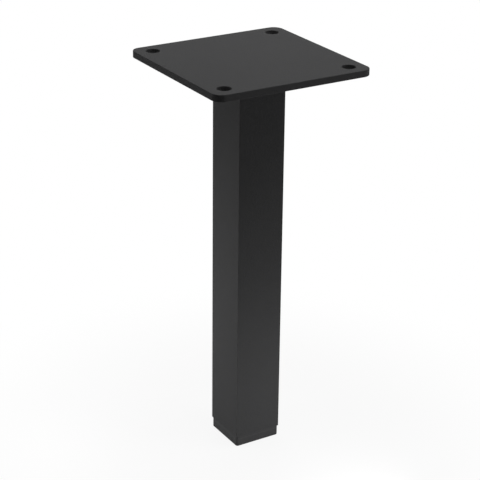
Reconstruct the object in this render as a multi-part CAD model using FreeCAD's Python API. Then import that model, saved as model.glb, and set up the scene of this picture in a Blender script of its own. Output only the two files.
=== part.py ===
import FreeCAD, Part
import math
import os

# Square steel table leg with a screw-in levelling foot, in millimetres.
# The origin is the centre of the foot's underside, on the floor. +Z points up to the table top.

# Plate that screws to the underside of a table top
plate_side = 100.0
plate_thickness = 4.0
plate_corner_radius = 6.0
plate_edge_round = 0.3
hole_edge_distance = 10.0
hole_diameter = 8.0
hole_edge_chamfer = 0.25

# Square tube
tube_width = 30.0
tube_wall = 1.5
tube_length = 229.5
tube_corner_radius = 0.25
tube_inner_corner_radius = 0.5

# Fillet weld between the tube and the plate's underside
weld_leg = 2.5
weld_bulge = 0.35

# Square plastic foot, screwed right in
foot_inset = 0.2
foot_corner_radius = 1.5
foot_pad_height = 5.0
foot_bottom_round = 0.6

# Ribbed plug in the tube's end
insert_flange_thickness = 1.5
insert_roof = 2.0
insert_core_radius = 3.0
insert_wall = 2.0
rib_thickness = 1.0
rib_spacing = 5.0
rib_clearance = 0.03
insert_top_chamfer = 1.0

# M8 bush in the plug, with a flange at its lower end that takes the load
bush_diameter = 12.0
bush_length = 18.0
bush_flange_diameter = 16.0
bush_flange_thickness = 1.5
bush_recess = 0.2
bush_clearance = 0.05

# M8 stud of the foot, with a thin hexagon head moulded into the plastic
stud_diameter = 8.0
stud_reach = 30.0
stud_end_chamfer = 0.8
thread_clearance = 0.05
head_across_flats = 13.0
head_thickness = 2.4
head_cover = 1.2
stud_side_room = 0.6
stud_tip_room = 1.2

# Widths that follow from the sizes above
hole_pitch = plate_side - 2 * hole_edge_distance
tube_inner_width = tube_width - 2 * tube_wall
foot_width = tube_width - 2 * foot_inset
insert_core_width = bush_flange_diameter + 2 * insert_wall
rib_width = tube_inner_width - 2 * rib_clearance

# Heights that follow from the sizes above
insert_bottom = foot_pad_height
tube_bottom = insert_bottom + insert_flange_thickness
tube_top = tube_bottom + tube_length
plate_top = tube_top + plate_thickness
stud_top = foot_pad_height + stud_reach
stud_room_top = stud_top + stud_tip_room
insert_top = stud_room_top + insert_roof
bush_bottom = insert_bottom + bush_recess
bush_flange_top = bush_bottom + bush_flange_thickness
bush_top = bush_bottom + bush_length


def square_block(width, radius, low, high):
    """Upright square block about the Z axis with rounded vertical corners."""
    half = width / 2
    flat = half - radius
    middle = flat + radius * math.sqrt(0.5)
    edges = []
    for quarter in range(4):
        side = Part.LineSegment(FreeCAD.Vector(half, -flat, low), FreeCAD.Vector(half, flat, low))
        corner = Part.Arc(
            FreeCAD.Vector(half, flat, low),
            FreeCAD.Vector(middle, middle, low),
            FreeCAD.Vector(flat, half, low),
        )
        for curve in (side, corner):
            edge = curve.toShape()
            edge.rotate(FreeCAD.Vector(0, 0, 0), FreeCAD.Vector(0, 0, 1), 90 * quarter)
            edges.append(edge)
    face = Part.Face(Part.Wire(edges))
    return face.extrude(FreeCAD.Vector(0, 0, high - low))


def round_bar(diameter, low, high, x=0.0, y=0.0):
    """Upright round bar."""
    return Part.makeCylinder(diameter / 2, high - low, FreeCAD.Vector(x, y, low))


def level_edges(shape, height):
    """Edges that lie wholly at one height."""
    found = []
    for edge in shape.Edges:
        box = edge.BoundBox
        if abs(box.ZMin - height) < 1e-6 and abs(box.ZMax - height) < 1e-6:
            found.append(edge)
    return found


def top_plate():
    """Flat square plate with four screw holes."""
    plate = square_block(plate_side, plate_corner_radius, tube_top, plate_top)
    rim = level_edges(plate, tube_top) + level_edges(plate, plate_top)
    plate = plate.makeFillet(plate_edge_round, rim)
    hole_radius = hole_diameter / 2
    mouth_radius = hole_radius + hole_edge_chamfer
    for x in (-hole_pitch / 2, hole_pitch / 2):
        for y in (-hole_pitch / 2, hole_pitch / 2):
            hole = round_bar(hole_diameter, tube_top, plate_top, x, y)
            top_mouth = Part.makeCone(
                hole_radius,
                mouth_radius,
                hole_edge_chamfer,
                FreeCAD.Vector(x, y, plate_top - hole_edge_chamfer),
            )
            bottom_mouth = Part.makeCone(
                mouth_radius,
                hole_radius,
                hole_edge_chamfer,
                FreeCAD.Vector(x, y, tube_top),
            )
            plate = plate.cut(hole.fuse([top_mouth, bottom_mouth]))
    return plate


def leg_tube():
    """Square tube, open at both ends."""
    outside = square_block(tube_width, tube_corner_radius, tube_bottom, tube_top)
    inside = square_block(tube_inner_width, tube_inner_corner_radius, tube_bottom, tube_top)
    return outside.cut(inside)


def weld_bead():
    """Slightly convex fillet weld all round the tube, under the plate."""
    half = tube_width / 2
    flat = half - tube_corner_radius
    root = FreeCAD.Vector(half, flat, tube_top)
    plate_toe = root + FreeCAD.Vector(weld_leg, 0, 0)
    tube_toe = root - FreeCAD.Vector(0, 0, weld_leg)
    crown_reach = weld_leg / 2 + weld_bulge * math.sqrt(0.5)
    crown = root + FreeCAD.Vector(crown_reach, 0, -crown_reach)
    outline = [
        Part.LineSegment(tube_toe, root).toShape(),
        Part.LineSegment(root, plate_toe).toShape(),
        Part.Arc(plate_toe, crown, tube_toe).toShape(),
    ]
    section = Part.Face(Part.Wire(outline))
    run = section.extrude(FreeCAD.Vector(0, -2 * flat, 0))
    corner = section.revolve(FreeCAD.Vector(flat, flat, 0), FreeCAD.Vector(0, 0, 1), 90)
    pieces = []
    for quarter in range(4):
        for piece in (run, corner):
            turned = piece.copy()
            turned.rotate(FreeCAD.Vector(0, 0, 0), FreeCAD.Vector(0, 0, 1), 90 * quarter)
            pieces.append(turned)
    return pieces[0].fuse(pieces[1:]).removeSplitter()


def tube_insert():
    """Plug with a blind bore: a square core, thin ribs that grip the tube, and a flange under its end."""
    flange = square_block(foot_width, foot_corner_radius, insert_bottom, tube_bottom)
    core = square_block(insert_core_width, insert_core_radius, tube_bottom, insert_top)
    core = core.makeChamfer(insert_top_chamfer, level_edges(core, insert_top))
    ribs = []
    rib_low = tube_bottom + rib_spacing - rib_thickness
    while rib_low + rib_thickness < insert_top - insert_top_chamfer:
        ribs.append(square_block(rib_width, tube_inner_corner_radius, rib_low, rib_low + rib_thickness))
        rib_low += rib_spacing
    bush_bore = round_bar(bush_diameter + 2 * bush_clearance, insert_bottom, bush_top + bush_clearance)
    flange_bore = round_bar(
        bush_flange_diameter + 2 * bush_clearance,
        insert_bottom,
        bush_flange_top + bush_clearance,
    )
    stud_bore = round_bar(stud_diameter + 2 * stud_side_room, insert_bottom, stud_room_top)
    return flange.fuse([core] + ribs).cut(bush_bore.fuse([flange_bore, stud_bore])).removeSplitter()


def threaded_bush():
    """Round bush with a flange at its lower end. The fine thread is left out of its bore."""
    barrel = round_bar(bush_diameter, bush_bottom, bush_top)
    flange = round_bar(bush_flange_diameter, bush_bottom, bush_flange_top)
    bore = round_bar(stud_diameter + 2 * thread_clearance, bush_bottom, bush_top)
    return barrel.fuse(flange).cut(bore)


def foot_stud():
    """Stud with a hexagon head. The fine thread is left out of its shank."""
    shank = round_bar(stud_diameter, head_cover, stud_top)
    shank = shank.makeChamfer(stud_end_chamfer, level_edges(shank, stud_top))
    corner_radius = head_across_flats / math.sqrt(3)
    corners = []
    for step in range(7):
        angle = math.radians(60 * step)
        x = corner_radius * math.cos(angle)
        y = corner_radius * math.sin(angle)
        corners.append(FreeCAD.Vector(x, y, head_cover))
    head = Part.Face(Part.makePolygon(corners)).extrude(FreeCAD.Vector(0, 0, head_thickness))
    return head.fuse(shank).removeSplitter()


def foot_pad(stud):
    """Square foot moulded round the stud's head, with rounded bottom edges."""
    pad = square_block(foot_width, foot_corner_radius, 0.0, foot_pad_height)
    pad = pad.makeFillet(foot_bottom_round, level_edges(pad, 0.0))
    return pad.cut(stud)


def export(name, shape):
    """Write one sub-part to its own file."""
    shape.exportStep(os.path.join("parts", name + ".step"))


os.makedirs("parts", exist_ok=True)
stud = foot_stud()
export("top_plate", top_plate())
export("leg_tube", leg_tube())
export("weld_bead", weld_bead())
export("tube_insert", tube_insert())
export("threaded_bush", threaded_bush())
export("foot_stud", stud)
export("foot_pad", foot_pad(stud))
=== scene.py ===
"""Finish, weld, threaded foot stud and studio of a square steel table leg.

Lengths are in metres and +Z is up. The origin is the centre of the foot's underside, on the floor.
The plate, the tube, the plug, the bush and the foot pad keep their own solids and get their finish
here. The weld and the stud are modelled here, with their ripples and their thread.
"""

import math
from typing import NamedTuple

import bmesh
import bpy
from mathutils import Matrix, Vector, noise


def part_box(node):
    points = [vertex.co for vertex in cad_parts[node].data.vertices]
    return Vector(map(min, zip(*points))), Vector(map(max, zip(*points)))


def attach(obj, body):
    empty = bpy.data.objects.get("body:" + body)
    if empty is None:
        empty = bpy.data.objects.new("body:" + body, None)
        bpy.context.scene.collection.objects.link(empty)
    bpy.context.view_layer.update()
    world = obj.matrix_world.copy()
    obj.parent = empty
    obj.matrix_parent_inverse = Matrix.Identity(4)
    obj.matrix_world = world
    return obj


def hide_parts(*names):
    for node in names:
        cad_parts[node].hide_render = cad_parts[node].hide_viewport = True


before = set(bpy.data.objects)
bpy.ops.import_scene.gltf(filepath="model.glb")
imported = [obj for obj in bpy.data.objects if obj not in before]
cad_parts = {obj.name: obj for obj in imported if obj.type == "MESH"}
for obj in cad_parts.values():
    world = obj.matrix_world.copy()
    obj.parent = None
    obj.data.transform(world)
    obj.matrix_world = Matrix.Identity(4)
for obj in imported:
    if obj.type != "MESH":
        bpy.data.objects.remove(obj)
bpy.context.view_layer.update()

bl_info = {
    "name": "Square Table Leg",
    "version": (1, 0, 0),
    "blender": (4, 5, 0),
    "location": "3D View > Sidebar > Table Leg",
    "description": "Finishes a square steel table leg and lights it in a small studio",
    "category": "Object",
}

MM = 0.001
WHITE = (1.0, 1.0, 1.0, 1.0)

# Places and sizes read from the frame
PLATE_LOW, PLATE_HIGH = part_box("top_plate")
TUBE_LOW, TUBE_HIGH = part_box("leg_tube")
BEAD_LOW, BEAD_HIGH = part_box("weld_bead")
STUD_LOW, STUD_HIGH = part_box("foot_stud")
PAD_LOW, PAD_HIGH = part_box("foot_pad")
PLUG_LOW, PLUG_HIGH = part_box("tube_insert")

# How much the slow clouds, the fine grain and the edges change the black finishes
COAT_CLOUD_TONE = 0.5
COAT_GRAIN_TONE = 0.35
COAT_CLOUD_ROUGHNESS = 0.08
COAT_GRAIN_ROUGHNESS = 0.1
COAT_EDGE_POLISH = 0.06
PLASTIC_CLOUD_TONE = 0.6
PLASTIC_GRAIN_TONE = 0.3
PLASTIC_CLOUD_ROUGHNESS = 0.08
PLASTIC_GRAIN_ROUGHNESS = 0.08
PLASTIC_EDGE_POLISH = 0.08

# How much the tint and the tool marks roughen the zinc
ZINC_TINT_ROUGHNESS = 0.15
ZINC_RING_ROUGHNESS = 0.1
# Scale of the tool marks along X, Y and the axis, so that they run round the steel
RING_STRETCH = (0.05, 0.05, 1.0)

# Texture values between which a finish goes from one of its two colours to the other
TONE_RANGE = (0.2, 0.8)
TINT_RANGE = (0.3, 0.7)

# Share by which the paper's tone wanders, and share of the shadow's reach that keeps its full depth
PAPER_TONE_CHANGE = 0.01
SHADOW_CORE = 1 / 4

# Flats at the root and the crest of a metric thread, as shares of its pitch
ROOT_FLAT = 1 / 4
CREST_FLAT = 1 / 8
# The thread starts this many turns below the bar's lower end, and is then cut off level
SPARE_TURNS = 1.5

# Edges turned by more than this stay sharp
SHARP_ANGLE = math.radians(30)
RIPPLE_SHARP_ANGLE = math.radians(50)

# Place in the noise from which the weld's size is taken
WANDER_SEED = 7.0
# Tolerance for points that lie at one height
LEVEL = 1e-6

FLOOR_SIDES = 96
SENSOR_WIDTH = 36
CLIP_START = 0.01


class Lamp(NamedTuple):
    """Place of a square soft lamp that faces a point on the leg's axis. Angles are in degrees."""

    name: str
    width: float
    azimuth: float
    elevation: float
    distance: float
    aim_height: float


# Azimuth runs round from the front, and elevation up from the floor
LAMPS = (
    Lamp("high_right", width=0.25, azimuth=60, elevation=60, distance=0.60, aim_height=0.12),
    Lamp("high_behind", width=0.30, azimuth=160, elevation=55, distance=0.60, aim_height=0.12),
    Lamp("right", width=0.20, azimuth=45, elevation=12, distance=0.50, aim_height=0.12),
    Lamp("low_behind", width=0.15, azimuth=-145, elevation=10, distance=0.28, aim_height=0.03),
    Lamp("low_left", width=0.08, azimuth=-110, elevation=18, distance=0.15, aim_height=0.03),
    Lamp("low_front", width=0.06, azimuth=10, elevation=8, distance=0.11, aim_height=0.02),
)


class Field:
    """One output socket of a node. Arithmetic on it adds Math nodes to the same tree."""

    def __init__(self, maker, node, output):
        self.maker = maker
        self.node = node
        self.socket = node.outputs[output]

    def math(self, operation, *others):
        values = dict(enumerate((self,) + others))
        return self.maker.add("ShaderNodeMath", {"operation": operation}, values)

    def __add__(self, other):
        return self.math("ADD", other)

    def __sub__(self, other):
        return self.math("SUBTRACT", other)

    def __mul__(self, other):
        return self.math("MULTIPLY", other)

    def __rsub__(self, other):
        return self.maker.add("ShaderNodeMath", {"operation": "SUBTRACT"}, {0: other, 1: self})

    __radd__ = __add__
    __rmul__ = __mul__

    def __abs__(self):
        return self.math("ABSOLUTE")

    def least(self, other):
        return self.math("MINIMUM", other)

    def most(self, other):
        return self.math("MAXIMUM", other)

    def eased(self, low, high):
        """Smooth step from 0 at low to 1 at high."""
        limits = {"Value": self, "From Min": low, "From Max": high}
        return self.maker.add("ShaderNodeMapRange", {"interpolation_type": "SMOOTHSTEP"}, limits)

    def output(self, name):
        """Another output of the same node."""
        return Field(self.maker, self.node, name)


class Maker:
    """Adds nodes to one node tree, which it empties first."""

    def __init__(self, tree):
        self.tree = tree
        tree.nodes.clear()

    def add(self, kind, settings=None, inputs=None, output=0):
        """Add a node: its settings first, then the values or links of its sockets."""
        node = self.tree.nodes.new(kind)
        for name, value in (settings or {}).items():
            setattr(node, name, value)
        for name, value in (inputs or {}).items():
            if isinstance(value, Field):
                self.tree.links.new(value.socket, node.inputs[name])
            else:
                node.inputs[name].default_value = value
        return Field(self, node, output) if node.outputs else node

    def mixed(self, factor, first, second):
        """Colour between two colours. A Mix node has its colours at sockets 6 and 7, and output 2."""
        inputs = {0: factor, 6: first, 7: second}
        return self.add("ShaderNodeMix", {"data_type": "RGBA"}, inputs, output=2)

    def speckle(self, place, width, detail=2.0):
        """Noise about zero, with blotches of one width."""
        inputs = {"Vector": place, "Scale": 1.0 / width, "Detail": detail, "Roughness": 0.5}
        return self.add("ShaderNodeTexNoise", None, inputs) - 0.5

    def bumped(self, height, depth):
        """Normal of a surface with a texture of some depth."""
        inputs = {"Height": height, "Strength": 1.0, "Distance": depth}
        return self.add("ShaderNodeBump", None, inputs)


def new_material(name):
    """Empty node material, its maker, and the place on the surface."""
    material = bpy.data.materials.new(name)
    material.use_nodes = True
    maker = Maker(material.node_tree)
    return material, maker, maker.add("ShaderNodeTexCoord", output="Object")


def finish_surface(maker, settings):
    """Surface shader with its constants and links, joined to the material's output."""
    shader = maker.add("ShaderNodeBsdfPrincipled", None, settings)
    maker.add("ShaderNodeOutputMaterial", None, {"Surface": shader})


def edge_nearness(maker, place, low, high, reach):
    """1 on the edges of an upright box, fading to 0 at a distance of reach."""
    parts = maker.add("ShaderNodeSeparateXYZ", None, {"Vector": place})
    depths = []
    for axis, name in enumerate("XYZ"):
        centre = (low[axis] + high[axis]) / 2
        half = (high[axis] - low[axis]) / 2
        depths.append(half - abs(parts.output(name) - centre))
    first, second, third = depths
    second_least = first.least(second).most(first.most(second).least(third))
    return 1.0 - second_least.eased(0.0, reach)


def lifted(colour, share=0.0):
    """Colour made lighter by a share, with alpha."""
    return tuple(channel * (1 + share) for channel in colour) + (1.0,)


def black_finish(maker, look, texture, edge):
    """Colour that wanders a little with a texture about zero, and is lighter along the edges with a
    painted edge highlight.
    """
    tone = (texture + 0.5).eased(*TONE_RANGE)
    darker, lighter = lifted(look.colour, -look.tone_change), lifted(look.colour, look.tone_change)
    body = maker.mixed(tone, darker, lighter)
    # Painted edge highlight: near the edges the colour goes towards a lighter copy of itself
    return maker.mixed(edge * look.edge_wear, body, lifted(look.colour, look.edge_lift))


def powder_coat(name, look, low, high):
    """Matt black powder coat: fine orange peel and grain, a little thinner and smoother along the
    edges, with a painted edge highlight there.
    """
    material, maker, place = new_material(name)
    peel = maker.speckle(place, look.peel_width, detail=1.0)
    grain = maker.speckle(place, look.grain_width)
    cloud = maker.speckle(place, look.cloud_width)
    edge = edge_nearness(maker, place, low, high, look.edge_reach)
    tone = cloud * COAT_CLOUD_TONE + grain * COAT_GRAIN_TONE
    roughening = cloud * COAT_CLOUD_ROUGHNESS + grain * COAT_GRAIN_ROUGHNESS
    finish_surface(
        maker,
        {
            "Base Color": black_finish(maker, look, tone, edge),
            "Roughness": look.roughness + roughening - edge * COAT_EDGE_POLISH,
            "Specular IOR Level": look.gloss,
            "Normal": maker.bumped((peel + grain) * 0.5, look.texture_depth),
        },
    )
    return material


def moulded_plastic(name, look, low, high):
    """Black moulded plastic with the fine matt grain of an eroded mould."""
    material, maker, place = new_material(name)
    grain = maker.speckle(place, look.grain_width, detail=3.0)
    cloud = maker.speckle(place, look.cloud_width, detail=1.0)
    edge = edge_nearness(maker, place, low, high, look.edge_reach)
    tone = cloud * PLASTIC_CLOUD_TONE + grain * PLASTIC_GRAIN_TONE
    roughening = cloud * PLASTIC_CLOUD_ROUGHNESS + grain * PLASTIC_GRAIN_ROUGHNESS
    finish_surface(
        maker,
        {
            # Random tone, with a painted highlight along the edges
            "Base Color": black_finish(maker, look, tone, edge),
            "Roughness": look.roughness + roughening - edge * PLASTIC_EDGE_POLISH,
            "Specular IOR Level": look.gloss,
            "Normal": maker.bumped(grain, look.texture_depth),
        },
    )
    return material


def zinc_plate(name, look):
    """Bright zinc on turned steel: fine rings from the tool and a faint change of tint."""
    material, maker, place = new_material(name)
    round_place = maker.add("ShaderNodeMapping", None, {"Vector": place, "Scale": RING_STRETCH})
    rings = maker.speckle(round_place, look.ring_width, detail=3.0)
    tint = maker.speckle(place, look.cloud_width)
    roughening = tint * ZINC_TINT_ROUGHNESS + rings * ZINC_RING_ROUGHNESS
    warmth = (tint + 0.5).eased(*TINT_RANGE)
    finish_surface(
        maker,
        {
            "Base Color": maker.mixed(warmth, lifted(look.colour), lifted(look.warm_colour)),
            "Metallic": 1.0,
            "Roughness": look.roughness + roughening,
            "Normal": maker.bumped(rings, look.texture_depth),
        },
    )
    return material


def seen_directly(maker):
    """1 for rays from the camera, and for rays that gloss or glass send on, else 0."""
    path = maker.add("ShaderNodeLightPath")
    camera = path.output("Is Camera Ray")
    glossy = path.output("Is Glossy Ray")
    return camera.most(glossy).most(path.output("Is Transmission Ray"))


def studio_paper(look):
    """Pale matt paper of the floor. Seen directly it is nearly white and keeps the leg's shadow."""
    material, maker, place = new_material("studio_paper")
    fibre = maker.speckle(place, look.fibre_width, detail=3.0)
    darker = lifted(look.paper_colour, -PAPER_TONE_CHANGE)
    lighter = lifted(look.paper_colour, PAPER_TONE_CHANGE)
    colour = maker.mixed(fibre + 0.5, darker, lighter)
    normal = maker.bumped(fibre, look.fibre_depth)
    paper = maker.add("ShaderNodeBsdfDiffuse", None, {"Color": colour, "Normal": normal})
    glow = maker.add("ShaderNodeEmission", None, {"Color": WHITE, "Strength": 1.0})
    away = maker.add("ShaderNodeVectorMath", {"operation": "LENGTH"}, {0: place}, output="Value")
    core = look.shadow_reach * SHADOW_CORE
    fade = away.eased(core, look.shadow_reach) * (1 - look.paper_glow)
    share = seen_directly(maker) * (fade + look.paper_glow)
    surface = maker.add("ShaderNodeMixShader", None, {0: share, 1: paper, 2: glow})
    maker.add("ShaderNodeOutputMaterial", None, {"Surface": surface})
    return material


def studio_world(look):
    """White backdrop where it is seen, and a plain soft dome for the light."""
    world = bpy.data.worlds.new("studio")
    world.use_nodes = True
    maker = Maker(world.node_tree)
    dome = maker.add("ShaderNodeBackground", None, {"Color": WHITE, "Strength": look.dome})
    white = maker.add("ShaderNodeBackground", None, {"Color": WHITE, "Strength": 1.0})
    surface = maker.add("ShaderNodeMixShader", None, {0: seen_directly(maker), 1: dome, 2: white})
    maker.add("ShaderNodeOutputWorld", None, {"Surface": surface})
    return world


def add_object(name, data):
    """Object of a mesh, a lamp or a camera, in the scene."""
    made = bpy.data.objects.new(name, data)
    bpy.context.scene.collection.objects.link(made)
    return made


def mesh_object(name, shape, sharp_angle=SHARP_ANGLE):
    """Object from an edit mesh, smooth apart from edges sharper than an angle."""
    bmesh.ops.recalc_face_normals(shape, faces=shape.faces)
    mesh = bpy.data.meshes.new(name)
    shape.to_mesh(mesh)
    shape.free()
    mesh.shade_smooth()
    mesh.set_sharp_from_angle(angle=sharp_angle)
    return add_object(name, mesh)


def fuse(piece, other):
    """Join a second closed piece into the first, and remove the second."""
    join = piece.modifiers.new("join", "BOOLEAN")
    join.operation = "UNION"
    join.object = other
    join.solver = "EXACT"
    depsgraph = bpy.context.evaluated_depsgraph_get()
    joined = bpy.data.meshes.new_from_object(piece.evaluated_get(depsgraph))
    if not joined.polygons:
        raise RuntimeError(piece.name + " and " + other.name + " didn't join")
    piece.modifiers.clear()
    piece.data = joined
    joined.shade_smooth()
    joined.set_sharp_from_angle(angle=SHARP_ANGLE)
    bpy.data.objects.remove(other)


def dress(piece, material):
    """Give a piece one material in all its slots."""
    if not piece.material_slots:
        piece.data.materials.append(material)
    for slot in piece.material_slots:
        slot.material = material


def ring_stations(half, radius, spacing, corner_steps):
    """Points and outward directions round a square with rounded corners, with the way walked."""
    flat = half - radius
    stations = []
    walked = 0.0
    side_steps = round(2 * flat / spacing)
    for quarter in range(4):
        turn = Matrix.Rotation(math.radians(90) * quarter, 3, "Z")
        outward = turn @ Vector((1, 0, 0))
        for step in range(side_steps):
            point = turn @ Vector((half, -flat + 2 * flat * step / side_steps, 0))
            stations.append((point, outward, walked))
            walked += 2 * flat / side_steps
        for step in range(corner_steps):
            angle = math.radians(90) * step / corner_steps
            direction = Vector((math.cos(angle), math.sin(angle), 0))
            point = turn @ (Vector((flat, flat, 0)) + direction * radius)
            stations.append((point, turn @ direction, walked))
            # The bead is wider than the tube's small corner, so its ripples go on round the turn
            walked += spacing / 2
    return stations


def weld_shape(look):
    """Fillet weld all round the tube, with the scalloped ripples of a hand-laid bead."""
    top = BEAD_HIGH.z
    leg = top - BEAD_LOW.z
    stations = ring_stations(
        TUBE_HIGH.x, look.tube_corner, look.station_spacing, look.corner_steps
    )
    rows = []
    shape = bmesh.new()
    for point, outward, walked in stations:
        wander = noise.noise(Vector((walked / look.wander_length, 0.0, WANDER_SEED)))
        size = leg * (look.fill + look.wander * wander)
        row = [shape.verts.new(point + Vector((0, 0, top)))]
        for step in range(look.arc_steps + 1):
            share = step / look.arc_steps
            crown = math.sin(math.pi * share)
            phase = walked / look.ripple_length + look.ripple_lag * (2 * share - 1) ** 2
            ripple = abs(math.sin(math.pi * phase)) ** look.ripple_fullness * look.ripple_depth
            rise = (look.bulge + ripple) * crown / math.sqrt(2)
            out = outward * (size * (1 - share) + rise)
            down = Vector((0, 0, top - size * share - rise))
            row.append(shape.verts.new(point + out + down))
        rows.append(row)
    for row, following in zip(rows, rows[1:] + rows[:1]):
        for index in range(len(row)):
            after = (index + 1) % len(row)
            shape.faces.new((row[index], following[index], following[after], row[after]))
    return shape


def fill_level_hole(shape, height):
    """Close the open loop that lies at one height."""
    rim = []
    for edge in shape.edges:
        if edge.is_boundary and all(abs(end.co.z - height) < LEVEL for end in edge.verts):
            rim.append(edge)
    bmesh.ops.edgeloop_fill(shape, edges=rim)


def cut_level(shape, height, side):
    """Cut off what lies past one height, above it or below it, and close the cut."""
    everything = shape.verts[:] + shape.edges[:] + shape.faces[:]
    bmesh.ops.bisect_plane(
        shape, geom=everything, plane_co=(0, 0, height), plane_no=(0, 0, side), clear_outer=True
    )
    fill_level_hole(shape, height)


def threaded_bar(look, low, high):
    """Bar with a coarse metric thread from end to end and a chamfered upper end."""
    crest = look.diameter / 2
    root = crest - look.thread_depth * look.pitch
    flank = (1 - ROOT_FLAT - CREST_FLAT) / 2
    crest_start = ROOT_FLAT + flank
    profile = ((0.0, root), (ROOT_FLAT, root), (crest_start, crest), (crest_start + CREST_FLAT, crest))
    steps = look.turn_steps
    count = math.ceil((high - low) / look.pitch + 2) * steps
    shape = bmesh.new()
    rows = []
    for step in range(count + 1):
        angle = 2 * math.pi * step / steps
        start = low - SPARE_TURNS * look.pitch + look.pitch * step / steps
        row = []
        for along, radius in profile:
            height = start + along * look.pitch
            radius = min(radius, crest - look.end_chamfer + max(high - height, 0.0))
            point = (radius * math.cos(angle), radius * math.sin(angle), height)
            row.append(shape.verts.new(point))
        rows.append(row)
    for step in range(count - steps):
        near, far = rows[step], rows[step + 1]
        for index in range(len(profile) - 1):
            shape.faces.new((near[index], far[index], far[index + 1], near[index + 1]))
        # The crest's upper edge meets the root one turn further up
        shape.faces.new((near[-1], far[-1], rows[step + 1 + steps][0], rows[step + steps][0]))
    cut_level(shape, low, -1)
    cut_level(shape, high, 1)
    loose = [point for point in shape.verts if not point.link_faces]
    bmesh.ops.delete(shape, geom=loose, context="VERTS")
    return shape


def hexagon_head(look, low, high):
    """Six-sided head with a chamfer round both faces."""
    across = look.head_across_flats / 2
    corner = across / math.cos(math.radians(30))
    cut = look.head_chamfer
    shape = bmesh.new()
    rings = []
    for height, inset in ((low, cut), (low + cut, 0.0), (high - cut, 0.0), (high, cut)):
        ring = []
        for step in range(6):
            angle = math.radians(60) * step
            reach = corner - inset
            point = (reach * math.cos(angle), reach * math.sin(angle), height)
            ring.append(shape.verts.new(point))
        rings.append(ring)
    for ring, upper in zip(rings, rings[1:]):
        for index in range(6):
            after = (index + 1) % 6
            shape.faces.new((ring[index], ring[after], upper[after], upper[index]))
    shape.faces.new(rings[0])
    shape.faces.new(rings[-1])
    return shape


class CoatLook(bpy.types.PropertyGroup):
    """Powder coat of the plate, the tube and the weld."""

    colour: bpy.props.FloatVectorProperty(
        name="Colour", description="Colour of the coat", subtype="COLOR", default=(0.05, 0.05, 0.051)
    )
    tone_change: bpy.props.FloatProperty(
        name="Tone Change",
        description="Share by which the tone wanders either way",
        default=0.08,
        min=0.0,
        max=1.0,
        subtype="FACTOR",
    )
    roughness: bpy.props.FloatProperty(
        name="Roughness",
        description="Mean roughness of the coat",
        default=0.75,
        min=0.0,
        max=1.0,
        subtype="FACTOR",
    )
    gloss: bpy.props.FloatProperty(
        name="Gloss",
        description="Strength of the coat's reflections",
        default=0.1,
        min=0.0,
        max=1.0,
        subtype="FACTOR",
    )
    peel_width: bpy.props.FloatProperty(
        name="Peel Width", description="Width of the orange peel", default=1.1 * MM, unit="LENGTH"
    )
    grain_width: bpy.props.FloatProperty(
        name="Grain Width", description="Width of the fine grain", default=0.28 * MM, unit="LENGTH"
    )
    cloud_width: bpy.props.FloatProperty(
        name="Cloud Width",
        description="Width of the slow change of tone",
        default=40 * MM,
        unit="LENGTH",
    )
    texture_depth: bpy.props.FloatProperty(
        name="Texture Depth",
        description="Height of peel and grain",
        default=0.14 * MM,
        unit="LENGTH",
    )
    # The edge band is smoother, and its lighter colour is a painted edge highlight
    edge_reach: bpy.props.FloatProperty(
        name="Edge Reach",
        description="Width of the thinner coat at an edge",
        default=0.5 * MM,
        unit="LENGTH",
    )
    # Strength of the painted edge highlight, which lightens the coat along its edges
    edge_wear: bpy.props.FloatProperty(
        name="Edge Highlight Share",
        description="How far the edges have gone to their lighter colour",
        default=0.12,
        min=0.0,
        max=1.0,
        subtype="FACTOR",
    )
    # Brightness of the painted edge highlight at full strength, over the coat's colour
    edge_lift: bpy.props.FloatProperty(
        name="Edge Highlight Lift",
        description="How much lighter than the coat a fully worn edge is",
        default=1.2,
        min=0.0,
    )


class PlasticLook(bpy.types.PropertyGroup):
    """Moulded plastic of the foot pad and the plug."""

    colour: bpy.props.FloatVectorProperty(
        name="Colour",
        description="Colour of the plastic",
        subtype="COLOR",
        default=(0.055, 0.055, 0.056),
    )
    tone_change: bpy.props.FloatProperty(
        name="Tone Change",
        description="Share by which the tone wanders either way",
        default=0.07,
        min=0.0,
        max=1.0,
        subtype="FACTOR",
    )
    roughness: bpy.props.FloatProperty(
        name="Roughness",
        description="Mean roughness of the plastic",
        default=0.72,
        min=0.0,
        max=1.0,
        subtype="FACTOR",
    )
    gloss: bpy.props.FloatProperty(
        name="Gloss",
        description="Strength of the plastic's reflections",
        default=0.1,
        min=0.0,
        max=1.0,
        subtype="FACTOR",
    )
    grain_width: bpy.props.FloatProperty(
        name="Grain Width",
        description="Width of the mould's grain",
        default=0.35 * MM,
        unit="LENGTH",
    )
    cloud_width: bpy.props.FloatProperty(
        name="Cloud Width",
        description="Width of the slow change of tone",
        default=15 * MM,
        unit="LENGTH",
    )
    texture_depth: bpy.props.FloatProperty(
        name="Texture Depth", description="Height of the grain", default=0.07 * MM, unit="LENGTH"
    )
    # The edge band is smoother, and its lighter colour is a painted edge highlight
    edge_reach: bpy.props.FloatProperty(
        name="Edge Reach", description="Width of the rubbed edges", default=0.7 * MM, unit="LENGTH"
    )
    # Strength of the painted edge highlight, which lightens the plastic along its edges
    edge_wear: bpy.props.FloatProperty(
        name="Edge Highlight Share",
        description="How far the edges have gone to their lighter colour",
        default=0.12,
        min=0.0,
        max=1.0,
        subtype="FACTOR",
    )
    # Brightness of the painted edge highlight at full strength, over the plastic's colour
    edge_lift: bpy.props.FloatProperty(
        name="Edge Highlight Lift",
        description="How much lighter than the plastic a fully rubbed edge is",
        default=0.9,
        min=0.0,
    )


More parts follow.
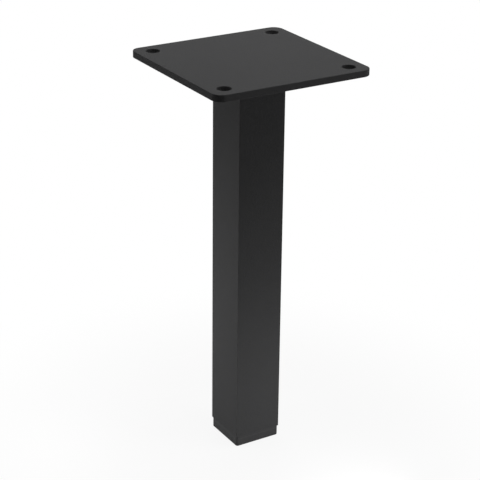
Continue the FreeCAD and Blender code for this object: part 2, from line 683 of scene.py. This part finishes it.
class ZincLook(bpy.types.PropertyGroup):
    """Zinc plate of the stud and the bush."""

    colour: bpy.props.FloatVectorProperty(
        name="Colour",
        description="Main colour of the zinc",
        subtype="COLOR",
        default=(0.60, 0.62, 0.66),
    )
    warm_colour: bpy.props.FloatVectorProperty(
        name="Warm Colour",
        description="Colour of its warmer patches",
        subtype="COLOR",
        default=(0.66, 0.65, 0.60),
    )
    roughness: bpy.props.FloatProperty(
        name="Roughness",
        description="Mean roughness of the zinc",
        default=0.32,
        min=0.0,
        max=1.0,
        subtype="FACTOR",
    )
    ring_width: bpy.props.FloatProperty(
        name="Ring Width", description="Width of the tool marks", default=0.12 * MM, unit="LENGTH"
    )
    cloud_width: bpy.props.FloatProperty(
        name="Cloud Width", description="Width of the patches of tint", default=6 * MM, unit="LENGTH"
    )
    texture_depth: bpy.props.FloatProperty(
        name="Texture Depth",
        description="Depth of the tool marks",
        default=0.004 * MM,
        unit="LENGTH",
    )


class WeldLook(bpy.types.PropertyGroup):
    """Fillet weld between the tube and the plate."""

    tube_corner: bpy.props.FloatProperty(
        name="Tube Corner",
        description="Radius of the tube's corners",
        default=0.25 * MM,
        unit="LENGTH",
    )
    fill: bpy.props.FloatProperty(
        name="Fill",
        description="Mean size of the bead as a share of its solid",
        default=0.93,
        min=0.0,
        max=1.0,
        subtype="FACTOR",
    )
    bulge: bpy.props.FloatProperty(
        name="Bulge",
        description="Height of the bead over a straight fillet",
        default=0.2 * MM,
        unit="LENGTH",
    )
    wander: bpy.props.FloatProperty(
        name="Wander",
        description="Share by which the bead's size wanders",
        default=0.06,
        min=0.0,
        max=1.0,
        subtype="FACTOR",
    )
    wander_length: bpy.props.FloatProperty(
        name="Wander Length",
        description="Length over which the bead's size wanders",
        default=9 * MM,
        unit="LENGTH",
    )
    ripple_length: bpy.props.FloatProperty(
        name="Ripple Length",
        description="Distance from ripple to ripple",
        default=1.5 * MM,
        unit="LENGTH",
    )
    ripple_depth: bpy.props.FloatProperty(
        name="Ripple Depth", description="Height of a ripple", default=0.2 * MM, unit="LENGTH"
    )
    ripple_lag: bpy.props.FloatProperty(
        name="Ripple Lag",
        description="How far a ripple's ends trail its middle, in ripples",
        default=0.4,
        min=0.0,
    )
    ripple_fullness: bpy.props.FloatProperty(
        name="Ripple Fullness",
        description="Power of the ripple's curve. Less than 1 makes it rounder on top",
        default=0.7,
        min=0.1,
    )
    station_spacing: bpy.props.FloatProperty(
        name="Station Spacing",
        description="Distance between sections of the mesh",
        default=0.2 * MM,
        unit="LENGTH",
    )
    corner_steps: bpy.props.IntProperty(
        name="Corner Steps", description="Sections round each corner", default=10, min=1
    )
    arc_steps: bpy.props.IntProperty(
        name="Arc Steps", description="Faces across the bead", default=10, min=2
    )


class StudLook(bpy.types.PropertyGroup):
    """Threaded stud of the foot."""

    diameter: bpy.props.FloatProperty(
        name="Diameter", description="Outer diameter of the thread", default=8 * MM, unit="LENGTH"
    )
    pitch: bpy.props.FloatProperty(
        name="Pitch", description="Rise of the thread in one turn", default=1.25 * MM, unit="LENGTH"
    )
    thread_depth: bpy.props.FloatProperty(
        name="Thread Depth",
        description="Depth of the thread as a share of its pitch",
        default=0.6134,
        min=0.0,
        max=1.0,
        subtype="FACTOR",
    )
    end_chamfer: bpy.props.FloatProperty(
        name="End Chamfer", description="Chamfer at the upper end", default=0.8 * MM, unit="LENGTH"
    )
    turn_steps: bpy.props.IntProperty(
        name="Turn Steps", description="Sections of the mesh in one turn", default=48, min=8
    )
    head_across_flats: bpy.props.FloatProperty(
        name="Head Across Flats", description="Width of the head", default=13 * MM, unit="LENGTH"
    )
    head_thickness: bpy.props.FloatProperty(
        name="Head Thickness",
        description="Thickness of the head",
        default=2.4 * MM,
        unit="LENGTH",
    )
    head_chamfer: bpy.props.FloatProperty(
        name="Head Chamfer",
        description="Chamfer round the head",
        default=0.25 * MM,
        unit="LENGTH",
    )


class StudioLook(bpy.types.PropertyGroup):
    """Floor, light and camera."""

    paper_colour: bpy.props.FloatVectorProperty(
        name="Paper Colour",
        description="Colour of the floor",
        subtype="COLOR",
        default=(0.86, 0.86, 0.86),
    )
    paper_radius: bpy.props.FloatProperty(
        name="Paper Radius", description="Radius of the floor", default=3.0, unit="LENGTH"
    )
    paper_glow: bpy.props.FloatProperty(
        name="Paper Glow",
        description="Share of plain white in the floor by the foot",
        default=0.9,
        min=0.0,
        max=1.0,
        subtype="FACTOR",
    )
    shadow_reach: bpy.props.FloatProperty(
        name="Shadow Reach",
        description="Distance at which the shadow has faded out",
        default=0.22,
        unit="LENGTH",
    )
    fibre_width: bpy.props.FloatProperty(
        name="Fibre Width",
        description="Width of the paper's fibres",
        default=0.8 * MM,
        unit="LENGTH",
    )
    fibre_depth: bpy.props.FloatProperty(
        name="Fibre Depth",
        description="Height of the paper's fibres",
        default=0.02 * MM,
        unit="LENGTH",
    )
    dome: bpy.props.FloatProperty(
        name="Dome",
        description="Strength of the soft light from all round",
        default=0.02,
        min=0.0,
    )
    high_right_power: bpy.props.FloatProperty(
        name="High Right",
        description="Power of the high lamp on the right",
        default=0.926,
        unit="POWER",
    )
    high_behind_power: bpy.props.FloatProperty(
        name="High Behind",
        description="Power of the high lamp behind the leg",
        default=1.0,
        unit="POWER",
    )
    right_power: bpy.props.FloatProperty(
        name="Right", description="Power of the lamp on the right", default=0.311, unit="POWER"
    )
    low_behind_power: bpy.props.FloatProperty(
        name="Low Behind",
        description="Power of the low lamp behind the leg",
        default=0.148,
        unit="POWER",
    )
    low_left_power: bpy.props.FloatProperty(
        name="Low Left",
        description="Power of the low lamp on the left",
        default=0.067,
        unit="POWER",
    )
    low_front_power: bpy.props.FloatProperty(
        name="Low Front", description="Power of the low lamp in front", default=0.043, unit="POWER"
    )
    lens: bpy.props.FloatProperty(
        name="Lens",
        description="Focal length for a sensor 36 mm wide",
        default=114.637,
        unit="CAMERA",
    )
    camera_place: bpy.props.FloatVectorProperty(
        name="Camera Place",
        description="Place of the camera",
        subtype="TRANSLATION",
        default=(-0.432421, -0.705527, 0.488350),
    )
    camera_azimuth: bpy.props.FloatProperty(
        name="Azimuth",
        description="Way round from the front",
        subtype="ANGLE",
        default=math.radians(-31.2123),
    )
    camera_elevation: bpy.props.FloatProperty(
        name="Elevation",
        description="Angle above the horizon",
        subtype="ANGLE",
        default=math.radians(23.47265),
    )
    camera_roll: bpy.props.FloatProperty(
        name="Roll",
        description="Turn about the line of sight",
        subtype="ANGLE",
        default=math.radians(0.58288),
    )


class LegLook(bpy.types.PropertyGroup):
    """All settings of the leg and its studio."""

    coat: bpy.props.PointerProperty(type=CoatLook, name="Coat", description="Powder coat")
    plastic: bpy.props.PointerProperty(
        type=PlasticLook, name="Plastic", description="Moulded plastic"
    )
    zinc: bpy.props.PointerProperty(type=ZincLook, name="Zinc", description="Zinc plate")
    weld: bpy.props.PointerProperty(type=WeldLook, name="Weld", description="Fillet weld")
    stud: bpy.props.PointerProperty(type=StudLook, name="Stud", description="Threaded stud")
    studio: bpy.props.PointerProperty(
        type=StudioLook, name="Studio", description="Floor, light and camera"
    )


class LEG_OT_coat_steel(bpy.types.Operator):
    """Powder-coat the plate and the tube"""

    bl_idname = "leg.coat_steel"
    bl_label = "Coat Plate and Tube"

    def execute(self, context):
        look = context.scene.leg_look.coat
        dress(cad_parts["top_plate"], powder_coat("plate_coat", look, PLATE_LOW, PLATE_HIGH))
        dress(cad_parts["leg_tube"], powder_coat("tube_coat", look, TUBE_LOW, TUBE_HIGH))
        return {"FINISHED"}


class LEG_OT_lay_weld(bpy.types.Operator):
    """Lay the coated fillet weld between tube and plate"""

    bl_idname = "leg.lay_weld"
    bl_label = "Lay Weld"

    def execute(self, context):
        look = context.scene.leg_look
        weld = mesh_object("weld_ripples", weld_shape(look.weld), RIPPLE_SHARP_ANGLE)
        dress(weld, powder_coat("weld_coat", look.coat, PLATE_LOW, PLATE_HIGH))
        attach(weld, "leg")
        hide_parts("weld_bead")
        return {"FINISHED"}


class LEG_OT_finish_plug(bpy.types.Operator):
    """Finish the plastic plug and its steel bush"""

    bl_idname = "leg.finish_plug"
    bl_label = "Finish Plug and Bush"

    def execute(self, context):
        look = context.scene.leg_look
        plastic = moulded_plastic("plug_plastic", look.plastic, PLUG_LOW, PLUG_HIGH)
        dress(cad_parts["tube_insert"], plastic)
        dress(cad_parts["threaded_bush"], zinc_plate("bush_zinc", look.zinc))
        return {"FINISHED"}


class LEG_OT_cut_stud(bpy.types.Operator):
    """Cut the threaded stud with its hexagon head"""

    bl_idname = "leg.cut_stud"
    bl_label = "Cut Stud"

    def execute(self, context):
        look = context.scene.leg_look
        head_top = STUD_LOW.z + look.stud.head_thickness
        head_middle = (STUD_LOW.z + head_top) / 2
        bar = mesh_object("stud_bar", threaded_bar(look.stud, head_middle, STUD_HIGH.z))
        stud = mesh_object("m8_stud", hexagon_head(look.stud, STUD_LOW.z, head_top))
        fuse(stud, bar)
        dress(stud, zinc_plate("stud_zinc", look.zinc))
        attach(stud, "foot")
        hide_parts("foot_stud")
        return {"FINISHED"}


class LEG_OT_finish_pad(bpy.types.Operator):
    """Finish the square plastic foot pad"""

    bl_idname = "leg.finish_pad"
    bl_label = "Finish Foot Pad"

    def execute(self, context):
        look = context.scene.leg_look.plastic
        dress(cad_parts["foot_pad"], moulded_plastic("pad_plastic", look, PAD_LOW, PAD_HIGH))
        return {"FINISHED"}


def outward_direction(azimuth, elevation):
    """Direction from the leg towards a lamp or the camera."""
    return Vector(
        (
            math.sin(azimuth) * math.cos(elevation),
            -math.cos(azimuth) * math.cos(elevation),
            math.sin(elevation),
        )
    )


def add_lamp(lamp, power):
    """Hang a square soft lamp and turn it to face its point of the leg."""
    light = bpy.data.lights.new(lamp.name + "_lamp", "AREA")
    light.shape = "SQUARE"
    light.size = lamp.width
    light.energy = power
    hung = add_object(lamp.name + "_lamp", light)
    away = outward_direction(math.radians(lamp.azimuth), math.radians(lamp.elevation))
    hung.location = Vector((0, 0, lamp.aim_height)) + away * lamp.distance
    hung.rotation_mode = "QUATERNION"
    hung.rotation_quaternion = away.to_track_quat("Z", "Y")
    hung.visible_camera = False


def camera_frame(look):
    """Right, up and backward directions of the camera."""
    azimuth, roll = look.camera_azimuth, look.camera_roll
    back = outward_direction(azimuth, look.camera_elevation)
    right = Vector((math.cos(azimuth), math.sin(azimuth), 0))
    up = back.cross(right)
    turned_right = right * math.cos(roll) + up * math.sin(roll)
    turned_up = up * math.cos(roll) - right * math.sin(roll)
    return Matrix((turned_right, turned_up, back)).transposed()


def add_camera(look):
    """Camera at the photograph's place, which the scene then uses."""
    lens = bpy.data.cameras.new("camera")
    lens.sensor_width = SENSOR_WIDTH
    lens.lens = look.lens
    lens.clip_start = CLIP_START
    camera = add_object("camera", lens)
    camera.matrix_world = Matrix.LocRotScale(look.camera_place, camera_frame(look), None)
    bpy.context.scene.camera = camera


class LEG_OT_build_studio(bpy.types.Operator):
    """Lay the floor, hang the lamps and place the camera"""

    bl_idname = "leg.build_studio"
    bl_label = "Build Studio"

    def execute(self, context):
        look = context.scene.leg_look.studio
        shape = bmesh.new()
        bmesh.ops.create_circle(
            shape, cap_ends=True, segments=FLOOR_SIDES, radius=look.paper_radius
        )
        floor = mesh_object("studio_floor", shape)
        dress(floor, studio_paper(look))
        # The floor stays under the foot when the foot is screwed out
        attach(floor, "foot")
        context.scene.world = studio_world(look)
        for lamp in LAMPS:
            add_lamp(lamp, getattr(look, lamp.name + "_power"))
        add_camera(look)
        context.scene.view_settings.view_transform = "Standard"
        return {"FINISHED"}


class LEG_PT_sidebar(bpy.types.Panel):
    """Buttons and settings of the leg"""

    bl_idname = "LEG_PT_sidebar"
    bl_label = "Square Table Leg"
    bl_space_type = "VIEW_3D"
    bl_region_type = "UI"
    bl_category = "Table Leg"

    def draw(self, context):
        for operator in OPERATORS:
            self.layout.operator(operator.bl_idname)
        look = context.scene.leg_look
        for name in LegLook.__annotations__:
            group = getattr(look, name)
            box = self.layout.box()
            box.label(text=look.bl_rna.properties[name].name)
            for setting in group.__annotations__:
                box.prop(group, setting)


OPERATORS = (
    LEG_OT_coat_steel,
    LEG_OT_lay_weld,
    LEG_OT_finish_plug,
    LEG_OT_cut_stud,
    LEG_OT_finish_pad,
    LEG_OT_build_studio,
)
LOOKS = (CoatLook, PlasticLook, ZincLook, WeldLook, StudLook, StudioLook, LegLook)
CLASSES = LOOKS + OPERATORS + (LEG_PT_sidebar,)


def register():
    for registered in CLASSES:
        bpy.utils.register_class(registered)
    bpy.types.Scene.leg_look = bpy.props.PointerProperty(type=LegLook)


def unregister():
    del bpy.types.Scene.leg_look
    for registered in reversed(CLASSES):
        bpy.utils.unregister_class(registered)


def main():
    register()
    bpy.ops.leg.coat_steel()
    bpy.ops.leg.lay_weld()
    bpy.ops.leg.finish_plug()
    bpy.ops.leg.cut_stud()
    bpy.ops.leg.finish_pad()
    bpy.ops.leg.build_studio()


if __name__ == "__main__":
    main()
